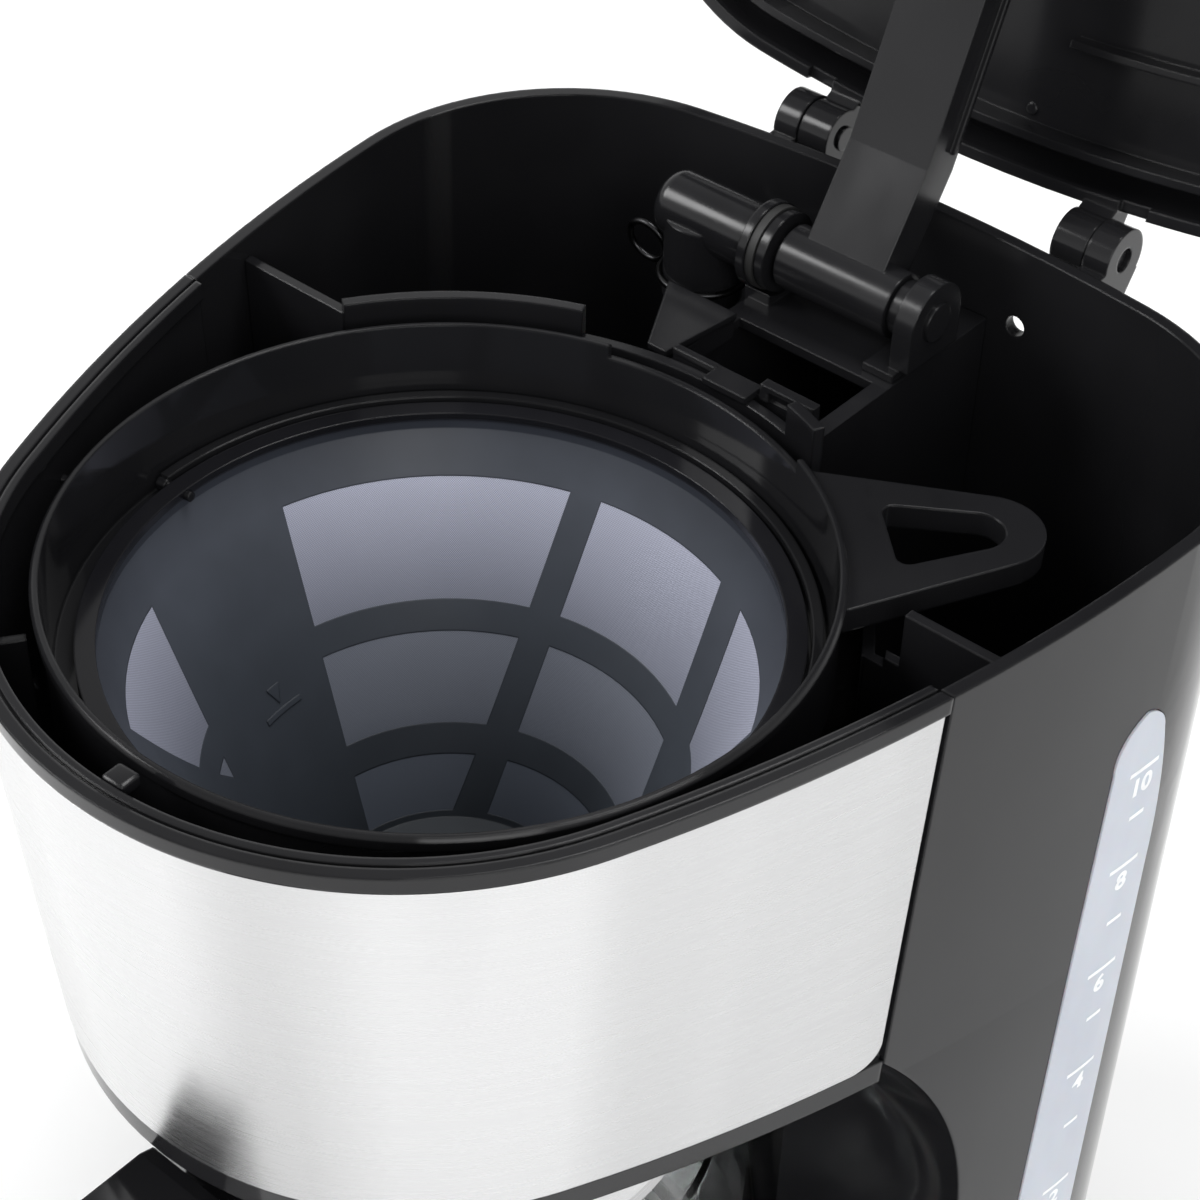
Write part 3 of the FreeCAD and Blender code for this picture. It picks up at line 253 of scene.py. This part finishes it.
def brushed(name, colour, rough):
    """Brushed steel: fine lines round the vertical axis, over soft upright bands of painted reflection."""
    s = Shader(name, colour, rough, 1.0)
    fine = s.noise(1.0, 6.0, 0.7, s.stretched(14, 14, 9500))
    broad = s.noise(1.0, 4.0, 0.6, s.stretched(5, 5, 1500))
    both = s.math("ADD", s.math("MULTIPLY", fine, 0.68), s.math("MULTIPLY", broad, 0.32))
    s.to("Roughness", s.span(both, rough - 0.06, rough + 0.08, 0.3, 0.7))
    # painted reflection: soft upright light and dark bands laid into the steel's colour
    painted_reflection_bands = s.span(s.noise(1.0, 1.5, 0.4, s.stretched(26, 26, 0.6)), 0.0, 1.0, 0.38, 0.62)
    base = s.mix(painted_reflection_bands, scaled(colour, 0.84), scaled(colour, 1.02))
    lines = s.mix(0.09, base, (0.1, 0.1, 0.1))
    s.to("Base Color", s.mix(s.span(both, 0.0, 1.0, 0.3, 0.7), lines, base))
    s.to("Normal", s.bump(both, 0.035, 0.00005, s.soft_edges(0.0003)))
    s.set(Anisotropic=0.45)
    tangent = s.node("ShaderNodeTangent")
    tangent.direction_type = "RADIAL"
    tangent.axis = "Z"
    s.to("Tangent", tangent.outputs[0])
    return s.mat


def plated(name, colour, rough):
    """Plated or bare metal with faint cloudy spots."""
    s = Shader(name, colour, rough, 1.0)
    spots = s.noise(260.0, 4.0, 0.6)
    s.to("Roughness", s.span(spots, rough * 0.7, rough * 1.5, 0.3, 0.7))
    s.to("Base Color", s.mix(s.span(spots, 0.0, 1.0, 0.35, 0.75), colour, scaled(colour, 0.82)))
    s.to("Normal", s.bump(s.noise(900.0, 2.0), 0.03, 0.00005, s.soft_edges(0.0002)))
    return s.mat


def height_ramp(s, low, high, *stops):
    """Colour by height above the worktop; each stop is a height in mm and its colour."""
    z = s.node("ShaderNodeSeparateXYZ", Vector=s.coords).outputs[2]
    factor = s.span(z, 0.0, 1.0, low / 1000, high / 1000)
    return s.ramp(factor, *[((h - low) / (high - low), colour) for h, colour in stops])


def woven(name):
    """Fine steel cloth: two sets of wires round and down the cone, with painted shade darkening it towards the
    bottom.
    """
    s = Shader(name, (0.36, 0.37, 0.41), 0.5, 0.25)
    x, y, z = s.node("ShaderNodeSeparateXYZ", Vector=s.coords).outputs
    from_axis = s.math("SUBTRACT", y, AXIS.y)
    wires_round, wire_pitch = 780.0, 0.00042
    waves_u = s.math("SINE", s.math("MULTIPLY", s.math("ARCTAN2", from_axis, x), wires_round))
    waves_v = s.math("SINE", s.math("MULTIPLY", z, 2 * math.pi / wire_pitch))
    weave = s.math("MULTIPLY", waves_u, waves_v)
    shade = s.span(weave, 0.0, 1.0, -1.0, 1.0)
    # painted shade: the cloth's colour darkens from the top of the cone down to its bottom
    painted_shade_ramp = height_ramp(s, 177, 236, (177, (0.10, 0.115, 0.145)), (188, (0.125, 0.142, 0.178)),
                       (196, (0.20, 0.218, 0.262)), (209, (0.245, 0.265, 0.318)),
                       (216, (0.335, 0.352, 0.435)), (236, (0.60, 0.62, 0.76)))
    cloudy = s.noise(22.0, 3.0, 0.6)
    holes = s.mix(0.62, painted_shade_ramp, (0.02, 0.021, 0.024))
    s.to("Base Color", s.mix(shade, holes, painted_shade_ramp))
    s.to("Roughness", s.span(cloudy, 0.42, 0.6, 0.3, 0.7))
    s.to("Normal", s.bump(weave, 0.25, 0.00008))
    return s.mat


def filter_plastic(name):
    """Bluish grey satin plastic with painted shade darkening it towards the bottom, and a glossy black rim."""
    s = Shader(name, (0.03, 0.033, 0.04), 0.42)
    s.set(Specular_IOR_Level=0.35)
    # painted shade: the colour darkens from the band under the rim down to the bottom of the cone; the black
    # rim is the plastic's own colour
    shade = height_ramp(s, 170, 250, (172, (0.018, 0.022, 0.027)), (215, (0.052, 0.060, 0.074)),
                        (236, (0.066, 0.074, 0.092)), (245.4, (0.042, 0.047, 0.060)),
                        (246.2, (0.010, 0.010, 0.012)))
    cloudy = s.noise(30.0, 4.0, 0.6)
    darker = s.mix(0.25, shade, (0.0, 0.0, 0.0))
    s.to("Base Color", s.mix(s.span(cloudy, 0.0, 1.0, 0.35, 0.7), darker, shade))
    roughness = height_ramp(s, 170, 250, (172, (0.48,) * 3), (245.4, (0.44,) * 3), (246.2, (0.14,) * 3))
    s.to("Roughness", roughness)
    normal = s.bump(s.noise(420.0, 2.0, 0.5), 0.03, 0.00008, s.soft_edges(0.0004))
    s.to("Normal", s.bump(s.noise(3000.0, 2.0, 0.6), 0.03, 0.00005, normal))
    return s.mat


def frosted(name):
    """Clear plastic with a frosted face, as the level window."""
    s = Shader(name, (0.56, 0.59, 0.65), 0.32)
    s.set(Subsurface_Weight=0.25, Subsurface_Scale=0.004, IOR=1.49)
    cloudy = s.noise(30.0, 4.0, 0.6, s.stretched(1, 1, 0.4))
    s.to("Base Color", s.mix(s.span(cloudy, 0.0, 1.0, 0.3, 0.7), (0.47, 0.5, 0.57), (0.6, 0.63, 0.69)))
    s.to("Roughness", s.span(cloudy, 0.26, 0.42, 0.3, 0.7))
    s.to("Normal", s.bump(s.noise(1800.0, 2.0), 0.06, 0.00005, s.soft_edges(0.0003)))
    return s.mat


def clear_glass(name):
    """Blown glass with a slow ripple."""
    s = Shader(name, (0.97, 0.985, 0.985), 0.0)
    s.set(IOR=1.47, Transmission_Weight=1.0)
    ripple = s.noise(14.0, 2.0, 0.5, s.stretched(1, 1, 0.5))
    s.to("Roughness", s.span(s.noise(60.0, 3.0), 0.0, 0.03, 0.45, 0.8))
    s.to("Normal", s.bump(ripple, 0.05, 0.0004))
    return s.mat


def rubbery(name, colour, rough, clear=0.0):
    """Rubber or silicone, with some light let through where it is clear."""
    s = Shader(name, colour, rough)
    if clear:
        s.set(Transmission_Weight=clear, Subsurface_Weight=0.3, Subsurface_Scale=0.002)
    cloudy = s.noise(55.0, 4.0)
    s.to("Base Color", s.mix(s.span(cloudy, 0.0, 1.0, 0.3, 0.75), colour, scaled(colour, 0.8)))
    s.to("Roughness", s.span(cloudy, rough * 0.8, rough * 1.2, 0.3, 0.7))
    s.to("Normal", s.bump(s.noise(1500.0, 2.0), 0.08, 0.00006, s.soft_edges(0.0003)))
    return s.mat


def printed(name, colour):
    """Screen-printed ink, a little uneven."""
    s = Shader(name, colour, 0.4)
    cover = s.span(s.noise(400.0, 3.0), 0.0, 1.0, 0.3, 0.6)
    s.to("Base Color", s.mix(cover, scaled(colour, 0.9), colour))
    return s.mat


def coated_plate(name):
    """Black non-stick coating with its fine speckle."""
    s = Shader(name, (0.018, 0.018, 0.019), 0.38)
    speck = s.noise(1400.0, 2.0, 0.5)
    specks = s.span(speck, 0.0, 1.0, 0.6, 0.72)
    s.to("Base Color", s.mix(specks, (0.015, 0.015, 0.016), (0.06, 0.06, 0.06)))
    s.to("Roughness", s.span(s.noise(35.0, 4.0), 0.28, 0.5, 0.3, 0.7))
    s.to("Normal", s.bump(speck, 0.1, 0.00006, s.soft_edges(0.0005)))
    return s.mat


# finishes by the record's material slots, and one more for print
MATS = {
    "housing_black": moulded("gloss black ABS", (0.0095, 0.0095, 0.0105), 0.05, 0.15, 0.025, 0.0007),
    "inner_black": moulded("satin black moulding", (0.0085, 0.0085, 0.0095), 0.12, 0.26, 0.03, 0.0006,
                           grain=0.01, shine=0.34),
    "grip_black": moulded("gloss black grip", (0.009, 0.009, 0.010), 0.07, 0.18, 0.03, 0.0006),
    "bezel_black": moulded("satin switch plastic", (0.014, 0.014, 0.015), 0.34, 0.5, 0.03, 0.0004,
                           grain=0.06),
    "brushed_steel": brushed("brushed stainless steel", (0.72, 0.72, 0.725), 0.25),
    "frame_grey": filter_plastic("filter plastic"),
    "mesh_steel": woven("woven steel mesh"),
    "clear_window": frosted("frosted window"),
    "glass": clear_glass("jug glass"),
    "silicone": rubbery("translucent silicone", (0.62, 0.62, 0.6), 0.35, 0.3),
    "rubber": rubbery("black rubber", (0.016, 0.016, 0.016), 0.6),
    "hot_enamel": coated_plate("non-stick plate"),
    "zinc_steel": plated("plated steel", (0.56, 0.56, 0.57), 0.28),
    "black_steel": plated("blackened spring steel", (0.05, 0.05, 0.052), 0.3),
    "aluminium": plated("bare aluminium", (0.62, 0.62, 0.63), 0.4),
    "wire_cover": rubbery("lead cover", (0.35, 0.04, 0.03), 0.45),
    "white_print": printed("white print", (0.93, 0.94, 0.95)),
}

for entry in frame["record"]["subparts"]:
    body = NODES[entry["node"]].data
    body.materials.clear()
    body.materials.append(MATS[entry["material_slot"]])

floor_look = Shader("pale floor", (0.93, 0.93, 0.93), 0.9)
floor_tone = floor_look.mix(floor_look.noise(3.0), (0.92, 0.92, 0.92), (0.94, 0.94, 0.94))
floor_look.to("Base Color", floor_tone)
floor_mesh.materials.append(floor_look.mat)

# ------------------------------------------------------------------ added pieces
def tree_of(node):
    """Search tree of a CAD node's faces, for rays that find a place on it."""
    mesh = NODES[node].data
    return BVHTree.FromPolygons([v.co for v in mesh.vertices], [p.vertices for p in mesh.polygons])


def add(name, shape, look, body):
    """Turn a bmesh into a piece with its finish and the body it rides on."""
    mesh = bpy.data.meshes.new(name)
    shape.to_mesh(mesh)
    shape.free()
    mesh.materials.append(MATS[look])
    piece = bpy.data.objects.new(name, mesh)
    scene.collection.objects.link(piece)
    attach(piece, body)
    return piece


def solid(verts, faces, merge=0.0):
    """Closed bmesh from points and faces, its normals turned outwards."""
    mesh = bpy.data.meshes.new("scratch")
    mesh.from_pydata(verts, [], faces)
    shape = bmesh.new()
    shape.from_mesh(mesh)
    bpy.data.meshes.remove(mesh)
    if merge:
        bmesh.ops.remove_doubles(shape, verts=shape.verts, dist=merge)
    bmesh.ops.recalc_face_normals(shape, faces=shape.faces)
    return shape


def strip(place, u0, u1, v0, v1, steps, sink, rise):
    """A thin closed band that follows a surface, from u0 to u1 in steps, v0 to v1 across."""
    verts, faces = [], []
    for i in range(steps + 1):
        u = u0 + (u1 - u0) * i / steps
        verts += [place(u, v0, -sink), place(u, v1, -sink), place(u, v1, rise), place(u, v0, rise)]
    for i in range(steps):
        a, b = 4 * i, 4 * i + 4
        faces += [(a + j, a + (j + 1) % 4, b + (j + 1) % 4, b + j) for j in range(4)]
    faces += [(3, 2, 1, 0), tuple(4 * steps + j for j in range(4))]
    return solid(verts, faces)


# scale on the level window: a long tick and its number for the even cups, a short tick for the odd ones
CUP_LEVELS = {2: 100.3, 3: 120.2, 4: 137.3, 5: 152.5, 6: 166.2, 7: 179.4, 8: 194.2, 9: 206.9, 10: 218.8}
LONG_TICK, SHORT_TICK = (73.6, 81.6), (76.0, 80.1)
TICK_W = 0.95
DIGIT_SIZE = 6.0
DIGIT_MIDDLE_Y = 77.6
DIGIT_DROP = 1.3
DIGIT_WEIGHT = 0.2
PRINT_RISE = 0.05
window_tree = tree_of("level_window")


def on_window(y, z, rise):
    """Point on the level window's outer face, raised by so many millimetres."""
    start = at(200, y, z)
    hit = window_tree.ray_cast(start, Vector((-1, 0, 0)))[0]
    return Vector((hit.x + rise / 1000, start.y, start.z))


def number_mesh(body):
    """Mesh of a printed number in its own plane, about the middle of its top edge."""
    text = bpy.data.curves.new("number_text", "FONT")
    text.body = body
    text.size = DIGIT_SIZE / 1000
    text.extrude = PRINT_RISE / 1000
    text.offset = DIGIT_WEIGHT / 1000
    text.align_x = "CENTER"
    text.align_y = "TOP"
    text.resolution_u = 4
    holder = bpy.data.objects.new("number_text", text)
    scene.collection.objects.link(holder)
    bpy.context.view_layer.update()
    evaluated = holder.evaluated_get(bpy.context.evaluated_depsgraph_get())
    mesh = bpy.data.meshes.new_from_object(evaluated)
    bpy.data.objects.remove(holder)
    bpy.data.curves.remove(text)
    return mesh


for cups, z in CUP_LEVELS.items():
    y0, y1 = SHORT_TICK if cups % 2 else LONG_TICK
    tick = strip(on_window, y0, y1, z - TICK_W / 2, z + TICK_W / 2, 4, PRINT_RISE, PRINT_RISE)
    add("tick_%02d" % cups, tick, "white_print", "housing")
    if cups % 2 == 0:
        mesh = number_mesh(str(cups))
        verts = []
        for v in mesh.vertices:
            flat = on_window(DIGIT_MIDDLE_Y + v.co.x * 1000, z - DIGIT_DROP + v.co.y * 1000, 0.0)
            verts.append(flat + Vector((v.co.z, 0, 0)))
        number = solid(verts, [tuple(f.vertices) for f in mesh.polygons], merge=1e-6)
        add("number_%02d" % cups, number, "white_print", "housing")

# fill line inside the filter, with an arrow head above it
FILL_AZ, FILL_Z = 186.0, 205.0
FILL_HALF_SWEEP, FILL_HALF_W = 7.0, 0.5
ARROW_HALF_SWEEP, ARROW_LOW, ARROW_TOP = 2.4, 1.3, 4.6
SINK, RISE = 0.1, 0.25
cone_tree = tree_of("filter_frame")


def on_cone(az, z, rise):
    """Point on the filter's inner face, raised towards the axis by so many millimetres."""
    out = outward(az)
    return cone_tree.ray_cast(at(0, 0, z), out)[0] - out * rise / 1000


line = strip(on_cone, FILL_AZ - FILL_HALF_SWEEP, FILL_AZ + FILL_HALF_SWEEP,
             FILL_Z - FILL_HALF_W, FILL_Z + FILL_HALF_W, 8, SINK, RISE)
add("fill_line", line, "frame_grey", "filter")
head = [(FILL_AZ - ARROW_HALF_SWEEP, FILL_Z + ARROW_TOP), (FILL_AZ + ARROW_HALF_SWEEP, FILL_Z + ARROW_TOP),
        (FILL_AZ, FILL_Z + ARROW_LOW)]
arrow = solid([on_cone(a, z, lift) for lift in (-SINK, RISE) for a, z in head],
              [(0, 1, 2), (5, 4, 3), (0, 3, 4, 1), (1, 4, 5, 2), (2, 5, 3, 0)])
add("fill_arrow", arrow, "frame_grey", "filter")

# rounded stop at the front, just inside the trim, where the closed lid's edge comes down
STOP_AZ, STOP_SEAT_R = -87.0, 76.0
STOP_SIZE = (4.5, 4.0, 2.6)
STOP_IN, STOP_DOWN, STOP_BEVEL = 2.4, 1.0, 0.6
out = outward(STOP_AZ)
seat = tree_of("top_trim").ray_cast(at(0, 0, 300) + out * STOP_SEAT_R / 1000, Vector((0, 0, -1)))[0]
stop = bmesh.new()
bmesh.ops.create_cube(stop, size=1.0)
bmesh.ops.scale(stop, vec=Vector(STOP_SIZE) / 1000, verts=stop.verts)
bmesh.ops.bevel(stop, geom=list(stop.edges), offset=STOP_BEVEL / 1000, segments=3, affect="EDGES", profile=0.6)
turn = Matrix.Rotation(math.radians(STOP_AZ + 90), 3, "Z")
bmesh.ops.rotate(stop, verts=stop.verts, cent=(0, 0, 0), matrix=turn)
place = seat - out * STOP_IN / 1000 - Vector((0, 0, STOP_DOWN / 1000))
bmesh.ops.translate(stop, verts=stop.verts, vec=place)
add("front_stop", stop, "inner_black", "housing").data.shade_smooth()

# low round bosses on the lid's inner face, at x and height with the lid open
BOSSES = [(18.0, 311.5), (38.5, 309.0), (45.0, 315.0), (7.5, 281.5)]
BOSS_R, BOSS_TOP_R, BOSS_RISE = 1.5, 1.2, 0.5
liner_tree = tree_of("lid_liner")
for number, (x, z) in enumerate(BOSSES, 1):
    hit, normal, _, _ = liner_tree.ray_cast(at(x, 0, z), Vector((0, 1, 0)))
    boss = bmesh.new()
    bmesh.ops.create_cone(boss, cap_ends=True, segments=24, radius1=BOSS_R / 1000, radius2=BOSS_TOP_R / 1000,
                          depth=2 * BOSS_RISE / 1000)
    turn = normal.to_track_quat("Z", "Y").to_matrix()
    bmesh.ops.rotate(boss, verts=boss.verts, cent=(0, 0, 0), matrix=turn)
    bmesh.ops.translate(boss, verts=boss.verts, vec=hit)
    add("liner_boss_%d" % number, boss, "inner_black", "lid")
